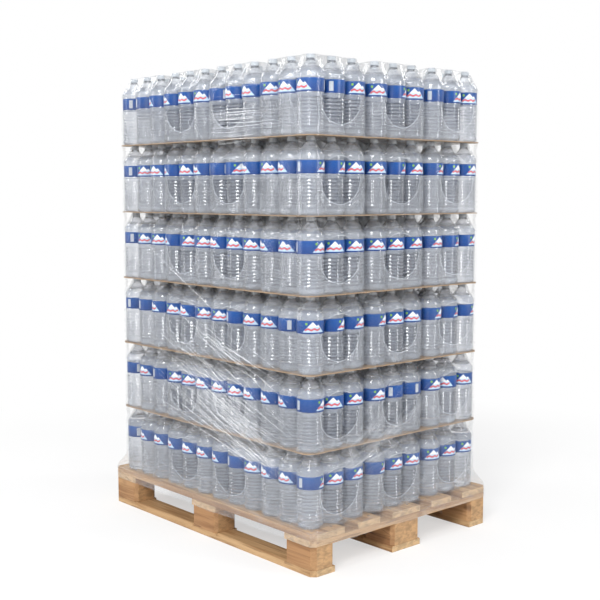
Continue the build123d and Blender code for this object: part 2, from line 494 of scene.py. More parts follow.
def repeat_tree():
    """Geometry nodes that stand a copy of a shape on every point, turned by the point's own angle."""
    tree = bpy.data.node_groups.new(REPEAT_TREE, "GeometryNodeTree")
    for name, kind in REPEAT_INPUTS.items():
        tree.interface.new_socket(name, in_out="INPUT", socket_type="NodeSocket" + kind)
    tree.interface.new_socket("Geometry", in_out="OUTPUT", socket_type="NodeSocketGeometry")

    def node(kind, **settings):
        made = tree.nodes.new(kind)
        for name, value in settings.items():
            setattr(made, name, value)
        return made

    source = node("NodeGroupInput")
    shape = node("GeometryNodeObjectInfo")
    turn = node("GeometryNodeInputNamedAttribute", data_type="FLOAT")
    turn.inputs["Name"].default_value = "turn"
    lean = node("FunctionNodeRandomValue", data_type="FLOAT_VECTOR")
    lean.inputs[0].default_value = (-1.0, -1.0, 0.0)
    lean.inputs[1].default_value = (1.0, 1.0, 0.0)
    spread = node("ShaderNodeVectorMath", operation="SCALE")
    upright = node("ShaderNodeCombineXYZ")
    angles = node("ShaderNodeVectorMath", operation="ADD")
    rotation = node("FunctionNodeEulerToRotation")
    copies = node("GeometryNodeInstanceOnPoints")
    real = node("GeometryNodeRealizeInstances")
    coat = node("GeometryNodeSetMaterial")
    result = node("NodeGroupOutput")
    for start, end in (
        (source.outputs["Shape"], shape.inputs["Object"]),
        (source.outputs["Seed"], lean.inputs["Seed"]),
        (lean.outputs[0], spread.inputs[0]),
        (source.outputs["Lean"], spread.inputs["Scale"]),
        (turn.outputs[0], upright.inputs["Z"]),
        (spread.outputs[0], angles.inputs[0]),
        (upright.outputs[0], angles.inputs[1]),
        (angles.outputs[0], rotation.inputs[0]),
        (source.outputs["Geometry"], copies.inputs["Points"]),
        (shape.outputs["Geometry"], copies.inputs["Instance"]),
        (rotation.outputs[0], copies.inputs["Rotation"]),
        (source.outputs["Size"], copies.inputs["Scale"]),
        (copies.outputs[0], real.inputs[0]),
        (real.outputs[0], coat.inputs["Geometry"]),
        (source.outputs["Material"], coat.inputs["Material"]),
        (coat.outputs[0], result.inputs[0]),
    ):
        tree.links.new(start, end)
    return tree


def repeated(name, shape, places, material, lean=0.0, seed=1):
    """One plain mesh of copies of a shape, each place a point and a turn about Z."""
    tree = bpy.data.node_groups.get(REPEAT_TREE) or repeat_tree()
    points = bpy.data.meshes.new(name)
    points.from_pydata([point for point, _ in places], [], [])
    turns = points.attributes.new("turn", "FLOAT", "POINT")
    turns.data.foreach_set("value", [angle for _, angle in places])
    thing = placed(name, points)
    modifier = thing.modifiers.new("Repeat", "NODES")
    modifier.node_group = tree
    wanted = {"Shape": shape, "Size": 1.0, "Lean": lean, "Seed": seed, "Material": material}
    for socket in tree.interface.items_tree:
        if socket.in_out == "INPUT" and socket.name in wanted:
            modifier[socket.identifier] = wanted[socket.name]
    evaluated = thing.evaluated_get(bpy.context.evaluated_depsgraph_get())
    plain = bpy.data.meshes.new_from_object(evaluated)
    plain.name = name
    thing.modifiers.clear()
    thing.data = plain
    bpy.data.meshes.remove(points)
    return thing


FOOT_SHARES = ((0.0, 0.80), (2.5 * MM, 0.90), (7 * MM, 0.965), (14 * MM, 1.0))
FOOT_LOBES = 5
FOOT_NOTCH = 4 * MM
FOOT_HOLLOW = 3 * MM
LOBED_HEIGHT = 10 * MM
RIB_SHARES = ((0.06, 0.94), (0.42, 0.06), (0.54, 0.06), (0.94, 0.94))
WAIST_SHARES = (0.22, 0.45, 0.72)
LABEL_LIP = 0.5 * MM
SHOULDER_SHARES = (
    (-0.10, 1.0), (0.05, 0.97), (0.18, 0.86), (0.45, 0.52), (0.72, 0.21), (0.88, 0.06), (1.0, 0.0)
)
AIR_SHARES = (0.0, 0.25, 0.6, 0.96)
PLAIN_FOOT_SHARE = 0.84
PLAIN_RIB_SHARES = (0.2, 0.4, 0.6, 0.8)
BOTTLE_LEAN = 0.002


def shoulder_profile(shares):
    """Heights and radii from a bottle's shoulder to its neck."""
    rise = NECK_HEIGHT - SHOULDER
    spread = BODY_RADIUS - NECK_RADIUS
    return [(SHOULDER + rise * up, NECK_RADIUS + spread * out) for up, out in shares]


def bottle_profile(sets):
    """Heights and radii of a bottle's outside, from the foot to the neck."""
    full = BODY_RADIUS
    panel = full - sets.label_recess
    label_top = LABEL_BASE + LABEL_HEIGHT
    pitch = (sets.rib_top - sets.rib_base) / sets.rib_count
    profile = [(height, full * share) for height, share in FOOT_SHARES]
    for rib in range(sets.rib_count):
        for share, depth_share in RIB_SHARES:
            profile.append((sets.rib_base + (rib + share) * pitch, full - sets.rib_depth * depth_share))
    share, depth_share = RIB_SHARES[0]
    profile.append((sets.rib_top + share * pitch, full - sets.rib_depth * depth_share))
    below, waist, above = (sets.rib_top + share * (LABEL_BASE - sets.rib_top) for share in WAIST_SHARES)
    profile += [
        (below, full - 0.3 * MM),
        (waist, full - sets.waist_depth),
        (above, full - 0.2 * MM),
        (LABEL_BASE - LABEL_LIP, full - 0.1 * MM),
        (LABEL_BASE + LABEL_LIP, panel),
        (label_top - LABEL_LIP, panel),
        (label_top + 0.6 * MM, full),
    ]
    return profile + shoulder_profile(SHOULDER_SHARES)


def radius_at(profile, height):
    for (low, first), (high, second) in zip(profile, profile[1:]):
        if low <= height <= high:
            return first + (second - first) * (height - low) / (high - low)
    return profile[-1][1]


def add_air(mesh, sets, profile):
    """The air above a bottle's water, as a hollow facing inwards."""
    heights = [sets.water_height + (NECK_HEIGHT - sets.water_height) * share for share in AIR_SHARES]
    rings = []
    for height in heights:
        rings.append(circle(radius_at(profile, height) - sets.wall, height, sets.inner_sides)[::-1])
    mesh.shell(rings, heights[0], heights[-1])


def ribbed_bottle(sets):
    """A filled bottle with its ribs, waist, label panel and shoulder, and the air above its water."""
    profile = bottle_profile(sets)
    mesh = Mesh()
    rings = []
    for height, radius in profile:
        lobes = FOOT_LOBES if height < LOBED_HEIGHT else 0
        rings.append(circle(radius, height, sets.sides, lobes, FOOT_NOTCH))
    mesh.shell(rings, FOOT_HOLLOW, NECK_HEIGHT)
    add_air(mesh, sets, profile)
    return mesh.build("ribbed_bottle")


def plain_bottle(sets, buried=False, airy=False):
    """A plainer bottle behind the outer ring, or a full-width stand-in for one buried in a layer."""
    full = BODY_RADIUS
    profile = [(0.0, full * PLAIN_FOOT_SHARE), (LOBED_HEIGHT, full), (sets.rib_base, full)]
    for share in PLAIN_RIB_SHARES:
        profile.append((sets.rib_base + (sets.rib_top - sets.rib_base) * share, full - sets.rib_depth / 2))
    profile += [(sets.rib_top, full), (LABEL_BASE, full - sets.label_recess), (SHOULDER, full)]
    if buried:
        profile += [(NECK_HEIGHT, full), (NECK_HEIGHT + CAP_HEIGHT, CAP_RADIUS)]
    else:
        profile += shoulder_profile(SHOULDER_SHARES[2::2])
    mesh = Mesh()
    mesh.shell([circle(radius, height, sets.inner_sides) for height, radius in profile], 0, profile[-1][0])
    if airy:
        add_air(mesh, sets, profile)
    return mesh.build("plain_bottle")


def bottle_finish(sets):
    """Plastic full of water: it refracts, scatters more face on, and has painted shade in its rib grooves.
    """
    finish = Finish("clear plastic and water")
    _, _, z = finish.parts_of(finish.place())
    height = height_in_layer(z)
    pitch = (sets.rib_top - sets.rib_base) / sets.rib_count
    # Painted shade: a mask that is 1 at each rib groove's height and 0 at the crests, so the scattered
    # colour darkens in the grooves.
    groove = ((height - sets.rib_base) * (FULL_TURN / pitch) + QUARTER_TURN).sine() * 0.5 + 0.5
    groove = groove * height.within(sets.rib_base - pitch / 2, sets.rib_top + pitch / 2)
    coat = {"Coat_Weight": 1.0, "Coat_Roughness": 0.15, "Coat_IOR": 1.6}
    clear = finish.surface(
        Base_Color=opaque(sets.tint), Roughness=0.03, IOR=1.34, Transmission_Weight=1.0, **coat
    )
    # Painted shade: the scattered colour runs from the milk tint on the crests to the darker groove colour
    # in the grooves.
    tone = finish.mixed(groove, opaque(sets.milk_tint), opaque(sets.painted_groove_shade))
    milky = finish.surface(Base_Color=tone, Roughness=0.3, **coat)
    facing = Maths(finish, finish.add("ShaderNodeLayerWeight", None, {"Blend": 0.4}).outputs["Facing"])
    clearer = 1 - height.ramp(SHOULDER, SHOULDER + 15 * MM) * 0.6
    share = (1 - facing * 0.8) * clearer * sets.milk_share
    return finish.finish_with(finish.blend(share, clear, milky))


def deep_bottle_finish(sets):
    finish = Finish("bottles deep in the load")
    cloud = finish.noise(finish.place(), 9.0, detail=1.0)
    tone = finish.mixed(cloud.ramp(0.35, 0.65), opaque(sets.deep_tint), opaque(sets.tint))
    return finish.finish_with(finish.surface(Base_Color=tone, Roughness=0.25))


class WATERPALLET_OT_bottles(bpy.types.Operator):
    """Stand the ribbed bottles of the outer ring, and plainer ones behind them"""

    bl_idname = "waterpallet.bottles"
    bl_label = "Bottles"

    def execute(self, context):
        sets = context.scene.water_bottle
        ribbed = ribbed_bottle(sets)
        plain = plain_bottle(sets)
        airy = plain_bottle(sets, airy=True)
        buried = plain_bottle(sets, buried=True)
        clear = bottle_finish(sets)
        deep = deep_bottle_finish(sets)
        luck = random.Random(SEEDS["bottles"])
        for layer in range(1, LAYERS + 1):
            base = layer_base(layer)
            outer = [((x, y, base), luck.uniform(0, FULL_TURN)) for x, y in ALL_AXES if ring_of(x, y) == 0]
            second = [((x, y, base), 0.0) for x, y in ALL_AXES if ring_of(x, y) == 1]
            inner = [((x, y, base), 0.0) for x, y in ALL_AXES if ring_of(x, y) > 1]
            row = repeated("ribbed_bottles_%d" % layer, ribbed, outer, clear, lean=BOTTLE_LEAN, seed=layer)
            dress(row, "bottle_plastic", "bottles_layer_%d" % layer)
            shape = airy if layer == TOP else plain
            dress(repeated("second_row_bottles_%d" % layer, shape, second, clear), "bottle_plastic")
            name = "inner_bottles_%d" % layer
            if layer == TOP:
                dress(repeated(name, airy, inner, clear), "bottle_plastic")
            else:
                dress(repeated(name, buried, inner, deep), "bottle_core", "core_layer_%d" % layer)
        for shape in (ribbed, plain, airy, buried):
            discard(shape)
        return {"FINISHED"}


CAP_SIDES = 24
GRIP_SHARE = 0.045
# Rings of a cap from its foot up: shares of its radius and height, and whether it has grip ridges there.
CAP_SHARES = (
    (0.96, 0.0, False), (1.0, 0.16, False), (0.97, 0.24, True), (0.97, 0.88, True), (0.86, 1.0, False)
)


def knurled_cap():
    """A screw cap with grip ridges, a rounded top edge and a tamper ring."""
    rings = []
    for radius_share, height_share, ridged in CAP_SHARES:
        radius, height = CAP_RADIUS * radius_share, CAP_HEIGHT * height_share
        ring = circle(radius, height, CAP_SIDES)
        if ridged:
            ring[1::2] = circle(radius - CAP_RADIUS * GRIP_SHARE, height, CAP_SIDES)[1::2]
        rings.append(ring)
    mesh = Mesh()
    mesh.shell(rings, 0, CAP_HEIGHT)
    return mesh.build("knurled_cap")


def cap_finish(sets):
    finish = Finish("pale cap plastic")
    cloud = finish.noise(finish.place(), 60.0, detail=2.0)
    tone = finish.mixed(cloud, opaque(sets.cap_tint), opaque(srgb(226, 232, 238)))
    return finish.finish_with(
        finish.surface(Base_Color=tone, Roughness=0.22, Transmission_Weight=0.3, IOR=1.45)
    )


class WATERPALLET_OT_caps(bpy.types.Operator):
    """Screw a cap on every bottle that shows"""

    bl_idname = "waterpallet.caps"
    bl_label = "Caps"

    def execute(self, context):
        cap = knurled_cap()
        finish = cap_finish(context.scene.water_bottle)
        luck = random.Random(SEEDS["caps"])
        for layer in range(1, LAYERS + 1):
            node = "caps_layer_%d" % layer
            base = BOXES[node][0].z
            depth = shown_depth(layer)
            axes = [(x, y) for x, y in ALL_AXES if ring_of(x, y) <= depth]
            places = [((x, y, base), luck.uniform(0, FULL_TURN)) for x, y in axes]
            dress(repeated("screw_caps_%d" % layer, cap, places, finish), "cap_plastic", node)
        discard(cap)
        return {"FINISHED"}


LABEL_SIDES = 30
LABEL_EDGE = 0.4 * MM
LABEL_SKIN = 0.1 * MM
LABEL_COLOURS = {
    "lower blue": srgb(0, 58, 128),
    "peak": srgb(190, 216, 236),
    "snow": srgb(244, 248, 250),
    "wave": srgb(206, 84, 92),
    "dot": srgb(130, 190, 60),
    "panel": srgb(226, 232, 238),
    "bars": srgb(40, 52, 80),
}
# Places on the label are shares of its run and of its height, and the run is about this many heights.
LABEL_ASPECT = 6.5
FRONT_SHARE = 0.5
SIDE_PEAK_SHARE = 0.565
SIDE_SLOPE = 7.5
DROP_SHARE = 0.2
DOT_ACROSS_SHARE = 0.425
DOT_UP_SHARE = 0.76
WAVE_COUNT = 14
BAR_RATE = 1450.0
OUTWARD_SHARE = 0.7
OUTWARD_SPREAD = 0.7


def label_sleeve():
    mesh = Mesh()
    heights = (LABEL_BASE + LABEL_EDGE, LABEL_BASE + LABEL_HEIGHT - LABEL_EDGE)
    mesh.rings([circle(LABEL_RADIUS - LABEL_SKIN, height, LABEL_SIDES) for height in heights])
    for i in range(LABEL_SIDES):
        left, right = i / LABEL_SIDES, (i + 1) / LABEL_SIDES
        mesh.uvs += [left, 0.0, right, 0.0, right, 1.0, left, 1.0]
    return mesh.build("label_sleeve")


def label_finish(sets):
    """A printed sleeve in blue, with a pale twin peak, a red wave, a green dot and a striped panel."""
    finish = Finish("printed label")
    across, up, _ = finish.parts_of(finish.add("ShaderNodeUVMap", {"uv_map": "UVMap"}).outputs[0])
    from_front = abs(across - FRONT_SHARE)
    main_peak = from_front * LABEL_ASPECT + up
    side_peak = abs(across - SIDE_PEAK_SHARE) * SIDE_SLOPE + up + DROP_SHARE
    under_slope = 1 - main_peak.lesser(side_peak).ramp(0.88, 0.94)
    crest = (across * (FULL_TURN * WAVE_COUNT)).sine() * 0.05 + 0.34
    wave = (1 - abs(up - crest).ramp(0.06, 0.09)) * (1 - from_front.ramp(0.088, 0.098))
    from_dot = ((across - DOT_ACROSS_SHARE) * LABEL_ASPECT) ** 2.0 + (up - DOT_UP_SHARE) ** 2.0
    panel = (1 - from_front.ramp(0.375, 0.38)) * from_front.ramp(0.325, 0.33) * up.within(0.14, 0.86)
    bars = (across * BAR_RATE).sine() > 0.1
    inks = {name: opaque(colour) for name, colour in LABEL_COLOURS.items()}
    tone = finish.painted(
        finish.mixed(up, inks["lower blue"], opaque(sets.label_blue)),
        (under_slope * up.ramp(0.10, 0.14), inks["peak"]),
        (under_slope * up.ramp(0.50, 0.55), inks["snow"]),
        (wave, inks["wave"]),
        (1 - from_dot.ramp(0.007, 0.010), inks["dot"]),
        (panel, inks["panel"]),
        (panel * bars * 0.75, inks["bars"]),
    )
    return finish.finish_with(finish.surface(Base_Color=tone, Roughness=0.3))


def outward_turn(x, y, spread, luck):
    """A turn that faces a label out of the load's nearest side, give or take."""
    sides = (
        (COLUMNS[-1] - x, 0.0),
        (x - COLUMNS[0], math.pi),
        (y - ROWS[0], -QUARTER_TURN),
        (ROWS[-1] - y, QUARTER_TURN),
    )
    _, facing = min(sides, key=lambda side: side[0])
    return facing + luck.uniform(-spread, spread)


class WATERPALLET_OT_labels(bpy.types.Operator):
    """Put a printed label round every bottle that shows, most of them facing out"""

    bl_idname = "waterpallet.labels"
    bl_label = "Labels"

    def execute(self, context):
        sleeve = label_sleeve()
        finish = label_finish(context.scene.water_bottle)
        luck = random.Random(SEEDS["labels"])
        for layer in range(1, LAYERS + 1):
            base = layer_base(layer)
            places = []
            for x, y in ALL_AXES:
                if ring_of(x, y) <= shown_depth(layer):
                    spread = OUTWARD_SPREAD if luck.random() < OUTWARD_SHARE else math.pi
                    places.append(((x, y, base), math.pi + outward_turn(x, y, spread, luck)))
            row = repeated("printed_labels_%d" % layer, sleeve, places, finish)
            dress(row, "label_print", "labels_layer_%d" % layer)
        discard(sleeve)
        return {"FINISHED"}


SIDE_SHARES = (-1.0, -0.75, -0.5, -0.25, 0.0, 0.25, 0.5, 0.75)
CORNER_SHARES = (0.0, 0.2, 0.4, 0.6, 0.8)
POINTS_PER_SIDE = len(SIDE_SHARES) + len(CORNER_SHARES)
WALL_SHARES = (0.0, 0.15, 0.38, 0.62, 0.85, 1.0)
WALL_ROWS = len(WALL_SHARES) - 1
SLOPE_SHARES = (0.2, 0.45, 0.7, 0.9, 1.0)
ROOF_SHARES = ((0.75, 0.6), (0.5, 1.0), (0.25, 0.6))
ROOF_RADIUS = CAP_RADIUS + 0.6 * MM
SAG_SPREAD = (0.6, 1.25)
HANG_SPREAD = (0.7, 1.2)
PANEL_GROW_SHARE = 0.42
EYES_ON_ENDS = (0, 2)
EYES_ON_LONG_SIDES = (1, 3)


def side_ways(side):
    """The ways out of and along one of a pack's four sides."""
    angle = side * QUARTER_TURN
    out = Vector((math.cos(angle), math.sin(angle)))
    return out, Vector((-out.y, out.x))


def pack_outline(radius, sags):
    """A level line round three by three bottles, drawn in by each side's sag between them."""
    line = []
    for side, sag in enumerate(sags):
        out, along = side_ways(side)
        for share in SIDE_SHARES:
            dip = sag * math.sin(math.pi * share) ** 2
            line.append(out * (PITCH + radius - dip) + along * (share * PITCH))
        for share in CORNER_SHARES:
            turn = side * QUARTER_TURN + share * QUARTER_TURN
            line.append((out + along) * PITCH + Vector((math.cos(turn), math.sin(turn))) * radius)
    return line


def film_rows(sets):
    """Heights of the film's rows, with the film's reach from the bottles' axes and its sag."""
    rows = [(SHOULDER * share, PACK_RADIUS, sets.wall_sag) for share in WALL_SHARES]
    for share in SLOPE_SHARES:
        height = SHOULDER + (PACK_HEIGHT - SHOULDER) * share
        radius = PACK_RADIUS + (ROOF_RADIUS - PACK_RADIUS) * share
        bulge = math.sin(math.pi * min(1.0, 0.35 + share * 0.5))
        rows.append((height, radius, sets.wall_sag + (sets.shoulder_sag - sets.wall_sag) * bulge))
    return rows


def add_pack(mesh, sets, centre, base, eye_sides, luck):
    """One pack's film: walls, shoulders and roof, with an oval eye on the sides given."""
    strength = [luck.uniform(*SAG_SPREAD) for _ in range(4)]
    loops = []
    for height, radius, sag in film_rows(sets):
        line = pack_outline(radius, [sag * share for share in strength])
        loops.append(mesh.loop((centre[0] + p.x, centre[1] + p.y, base + height) for p in line))
    open_columns = {side * POINTS_PER_SIDE + i for side in eye_sides for i in range(len(SIDE_SHARES))}
    for level, (low, high) in enumerate(zip(loops, loops[1:])):
        mesh.join(low, high, skip=open_columns if level < WALL_ROWS else ())
    for side in eye_sides:
        add_eye(mesh, sets, loops, side, centre, base, strength[side] * sets.wall_sag)
    add_roof(mesh, sets, loops[-1], centre, base, luck)


def add_eye(mesh, sets, loops, side, centre, base, sag):
    """The wall panel round an oval eye, with a thick rim next to the opening."""
    first = side * POINTS_PER_SIDE
    last = first + len(SIDE_SHARES)
    edge = loops[0][first:last + 1]
    edge += [loops[level][last] for level in range(1, WALL_ROWS + 1)]
    edge += loops[WALL_ROWS][first:last][::-1]
    edge += [loops[level][first] for level in range(WALL_ROWS - 1, 0, -1)]
    out, along = side_ways(side)
    middle = Vector(centre)

    def on_panel(offset, height):
        dip = sag * math.sin(math.pi * offset / PITCH) ** 2
        place = middle + out * (PITCH + PACK_RADIUS - dip) + along * offset
        return (place.x, place.y, base + height)

    border = []
    for index in edge:
        x, y, z = mesh.points[index]
        border.append(((Vector((x, y)) - middle).dot(along), z - base))
    panel = [edge]
    for rim, grow in ((sets.rim_width, PANEL_GROW_SHARE), (sets.rim_width, 0.0), (0.0, 0.0)):
        points = []
        for edge_offset, edge_height in border:
            rise = (edge_height - sets.eye_centre) / sets.eye_height
            turn = math.atan2(rise, edge_offset / sets.eye_width)
            offset = (sets.eye_width / 2 + rim) * math.cos(turn)
            height = sets.eye_centre + (sets.eye_height / 2 + rim) * math.sin(turn)
            offset += (edge_offset - offset) * grow
            height += (edge_height - height) * grow
            points.append(on_panel(offset, height))
        panel.append(mesh.loop(points))
    for slot, outer, inner in zip((0, 0, 1), panel, panel[1:]):
        mesh.join(outer, inner, slot)


def add_roof(mesh, sets, edge, centre, base, luck):
    """The film over a pack's caps, hanging a little between them."""
    top = base + PACK_HEIGHT
    ring = [mesh.points[index] for index in edge]
    loops = [edge]
    for share, hang in ROOF_SHARES:
        z = top - sets.roof_sag * hang * luck.uniform(*HANG_SPREAD)
        loops.append(mesh.loop(
            (centre[0] + (x - centre[0]) * share, centre[1] + (y - centre[1]) * share, z) for x, y, _ in ring
        ))
    for low, high in zip(loops, loops[1:]):
        mesh.join(low, high)
    mesh.fan(loops[-1], (centre[0], centre[1], top))


TURNS_TOP = layer_base(2) + 40 * MM
TURNS_FADE = 60 * MM
FILM_IOR = 1.45
FILM_MILK = srgb(240, 245, 252)
CLING_EDGE = 4 * MM


def film_finish(name, haze, gloss, streak_scale, streak_gain, mirror, gather=0.0, skirt=0.0, turns=0.0):
    """Clear film: it mirrors more at a slant, and scatters a little except where it lies on the labels.

    It scatters further by the gather above the shoulders, by the skirt below the deck's top and by the turns
    on the lowest layer, where the film is wound more than once.
    """
    finish = Finish(name)
    vector = finish.place()
    _, _, z = finish.parts_of(vector)
    wrinkle = finish.noise(vector, streak_scale, detail=4.0, roughness=0.6)
    streak = 1 - abs(wrinkle - 0.5).ramp(0.0, 0.022)
    normal = finish.bump(wrinkle, 3.0 * MM, 0.6)
    slant = finish.add("ShaderNodeFresnel", None, {"IOR": FILM_IOR, "Normal": normal})
    fresnel = Maths(finish, slant.outputs[0])
    height = height_in_layer(z)
    label_top = LABEL_BASE + LABEL_HEIGHT
    past_label = height.ramp(label_top, label_top + CLING_EDGE)
    clinging = height.ramp(LABEL_BASE - CLING_EDGE, LABEL_BASE) * (1 - past_label)
    gathered = height.ramp(SHOULDER, NECK_HEIGHT) * gather
    hanging = (1 - z.ramp(DECK_TOP - 2 * MM, DECK_TOP + 20 * MM)) * skirt
    wound = (1 - z.ramp(TURNS_TOP - TURNS_FADE, TURNS_TOP)) * turns
    scatter = (streak * streak_gain + haze + gathered) * (1 - clinging * 0.9) + hanging + wound
    clear = finish.add("ShaderNodeBsdfTransparent").outputs[0]
    shine = finish.surface(Base_Color=WHITE, Metallic=1.0, Roughness=gloss, Normal=normal)
    milk = finish.surface(Base_Color=opaque(FILM_MILK), Roughness=0.6, Specular_IOR_Level=0.0)
    sheer = finish.blend(fresnel * (1 - clinging * 0.55) * mirror, clear, shine)
    return finish.finish_with(finish.blend(scatter, sheer, milk))


class WATERPALLET_OT_packs(bpy.types.Operator):
    """Shrink a film with two oval eyes round each pack of nine bottles"""

    bl_idname = "waterpallet.packs"
    bl_label = "Shrink-film packs"

    def execute(self, context):
        sets = context.scene.water_film
        film = film_finish(
            "shrink film", haze=sets.pack_haze, gloss=0.05, streak_scale=(11.0, 11.0, 6.0), streak_gain=0.14,
            mirror=0.4, gather=-0.10,
        )
        rim = film_finish(
            "shrink film rim", haze=0.50, gloss=0.15, streak_scale=(30.0, 30.0, 30.0), streak_gain=0.2,
            mirror=0.5,
        )
        luck = random.Random(SEEDS["packs"])
        columns = len(COLUMNS) // PACK_SIDE
        rows = len(ROWS) // PACK_SIDE
        for layer in range(1, LAYERS + 1):
            node = "pack_film_layer_%d" % layer
            mesh = Mesh()
            for column in range(columns):
                for row in range(rows):
                    inside = 0 < column < columns - 1 and 0 < row < rows - 1
                    if inside and layer != TOP:
                        continue
                    centre = (COLUMNS[column * PACK_SIDE + 1], ROWS[row * PACK_SIDE + 1])
                    eyes = EYES_ON_ENDS if column in (0, columns - 1) else EYES_ON_LONG_SIDES
                    add_pack(mesh, sets, centre, BOXES[node][0].z, eyes, luck)
            dress(mesh.build("shrink_film_%d" % layer, [film, rim]), "shrink_film", node)
        return {"FINISHED"}


CORNER_STEPS = 6
WRAP_COUNTS = (34, 44)
WRAP_ROWS = 56
WRAP_SLACK = 0.7 * MM
WRAP_DIP = 5 * MM
MOST_SWELL = 0.6 * MM
SKIRT_SWELL = 1.6
SKIRT_RADIUS = 20 * MM
SKIRT_STEPS = (0.0, 14 * MM, 28 * MM)
SKIRT_EDGE_WAVE = 10 * MM
TOP_EDGE_WAVE = 12 * MM
LOAD_RADIUS = 41 * MM
FLARE_HEIGHT = 70 * MM
FLARE_SHARES = (0.2, 0.4, 0.6, 0.8)
FLARE_TOP = DECK_TOP + FLARE_HEIGHT


def rounded_line(half_x, half_y, radius, counts):
    """A rounded rectangle as places, outward directions and runs along the line."""
    line = []
    out, along = Vector((1, 0)), Vector((0, 1))
    for side in range(4):
        reach, half = (half_x, half_y - radius) if side % 2 == 0 else (half_y, half_x - radius)
        count = counts[side % 2]
        for i in range(count):
            line.append((out * reach + along * (-half + 2 * half * i / count), out))
        corner = out * (reach - radius) + along * half
        for i in range(CORNER_STEPS):
            turn = i / CORNER_STEPS * QUARTER_TURN
            way = out * math.cos(turn) + along * math.sin(turn)
            line.append((corner + way * radius, way))
        out, along = along, -out
    run = 0.0
    before = line[-1][0]
    places = []
    for place, way in line:
        run += (place - before).length
        before = place
        places.append((place, way, run))
    return places


def ripple(luck, count):
    """A sum of slanted waves, as a function of the run along a side and of height."""
    waves = []
    for _ in range(count):
        length = luck.uniform(0.06, 0.30)
        slant = luck.uniform(-0.9, 0.9)
        waves.append((FULL_TURN / length, slant, luck.uniform(0, FULL_TURN), luck.uniform(0.4, 1.0)))

    def height(run, z):
        total = 0.0
        for pull, slant, phase, size in waves:
            total += size * math.sin(pull * (run * math.cos(slant) + z * math.sin(slant)) + phase)
        return total / count

    return height


def wrap_half(z):
    """Half the wrap's length and width and its corner radius at a height."""
    share = min(1.0, max(0.0, (z - DECK_TOP) / FLARE_HEIGHT))
    share = share * share * (3 - 2 * share)
    ends = (
        (WRAP_HIGH.x, SHEET_HIGH.x + WRAP_SLACK),
        (WRAP_HIGH.y, SHEET_HIGH.y + WRAP_SLACK),
        (SKIRT_RADIUS, LOAD_RADIUS),
    )
    return [skirt + (load - skirt) * share for skirt, load in ends]


def layer_dip(z):
    """How far the wrap draws in beside the bottles' shoulders."""
    if z <= FLARE_TOP:
        return 0.0
    share = (z - layer_base(1)) / LAYER_PITCH % 1.0
    return WRAP_DIP * math.sin(math.pi * min(1.0, max(0.0, (share - 0.76) / 0.22))) ** 2


def add_wrap(mesh, luck):
    """The wrap's wall, with soft ripples, from its skirt to its upper edge."""
    wave = ripple(luck, 9)
    edge = ripple(luck, 5)
    heights = [WRAP_LOW.z + step for step in SKIRT_STEPS] + [DECK_TOP]
    heights += [DECK_TOP + FLARE_HEIGHT * share for share in FLARE_SHARES]
    heights += [FLARE_TOP + (WRAP_HIGH.z - FLARE_TOP) * i / WRAP_ROWS for i in range(WRAP_ROWS + 1)]
    rings = []
    for level, z in enumerate(heights):
        ring = []
        for place, out, run in rounded_line(*wrap_half(z), WRAP_COUNTS):
            swell = wave(run, z) * (SKIRT_SWELL if z <= DECK_TOP else 1.0) * MM
            lift = 0.0
            if level == 0:
                lift = SKIRT_EDGE_WAVE * edge(run, 0.0)
            elif level == len(heights) - 1:
                lift = TOP_EDGE_WAVE * edge(run, 1.0)
            spot = place + out * (min(swell, MOST_SWELL) - layer_dip(z))
            ring.append((spot.x, spot.y, z + lift))
        rings.append(ring)
    mesh.rings(rings)


CREASE_STEPS = 12
CREASE_LIFT = 0.3 * MM
CREASE_MARGIN = 40 * MM
CREASE_CORNER = 45 * MM
CREASE_LOW = FLARE_TOP + 5 * MM
# Fans of creases: the share of the side that they reach along, their highest start and their slopes.
LONG_SIDE_FANS = ((0.7, 0.62, (0.20, 0.5)), (0.6, 0.34, (0.30, 0.55)))
SHORT_SIDE_FAN = (0.6, 0.34, (0.25, 0.7))


def wall_point(side, run, z, out):
    """A point on one of the wrap's four walls: how far along from its middle, how high and how far out."""
    half_x, half_y, _ = wrap_half(z)
    reach = out - layer_dip(z)
    flip = 1 if side in ("front", "right") else -1
    if side in ("front", "back"):
        return (flip * run, -flip * (half_y + reach), z)
    return (flip * (half_x + reach), flip * run, z)


def add_crease(mesh, side, start, end, bow, width):
    """A crease: a narrow ridge of gathered film that tapers to both ends."""
    run = end[0] - start[0]
    rise = end[1] - start[1]
    length = math.hypot(run, rise)
    across_run, across_rise = -rise / length, run / length
    rows = []
    for i in range(CREASE_STEPS + 1):
        share = i / CREASE_STEPS
        swell = math.sin(math.pi * share)
        half = width / 2 * (0.15 + 0.85 * swell)
        middle_run = start[0] + run * share + across_run * bow * swell
        middle_rise = start[1] + rise * share + across_rise * bow * swell
        row = []
        for aside, ridge in ((-half, 0.0), (0.0, half * 0.6), (half, 0.0)):
            place = (middle_run + across_run * aside, middle_rise + across_rise * aside)
            row.append(wall_point(side, *place, CREASE_LIFT + ridge))
        rows.append(row)
    mesh.rings(rows, slot=1, closed=False)


def fan_of_creases(mesh, sets, side, corner_run, fan, count, luck):
    """Creases that fan out from low at one corner and run up along the side."""
    reach_share, highest, slopes = fan
    limit = abs(corner_run)
    reach = 2 * limit * reach_share
    way = -1 if corner_run > 0 else 1
    for _ in range(count):
        z = luck.uniform(CREASE_LOW, highest)
        slope = math.tan(luck.uniform(*slopes))
        length = luck.uniform(0.25, 1.0) * reach
        begin = luck.uniform(0.0, 0.45) * reach
        start_run = corner_run + way * begin
        end_run = max(-limit, min(limit, start_run + way * length))
        start = (start_run, z + begin * slope)
        end = (end_run, start[1] + abs(end_run - start_run) * slope)
        if end[1] > WRAP_HIGH.z - CREASE_MARGIN or abs(end_run - start_run) < CREASE_MARGIN:
            continue
        width = sets.crease_width * luck.uniform(0.35, 1.0) ** 1.5
        add_crease(mesh, side, start, end, luck.uniform(-0.01, 0.01), width)


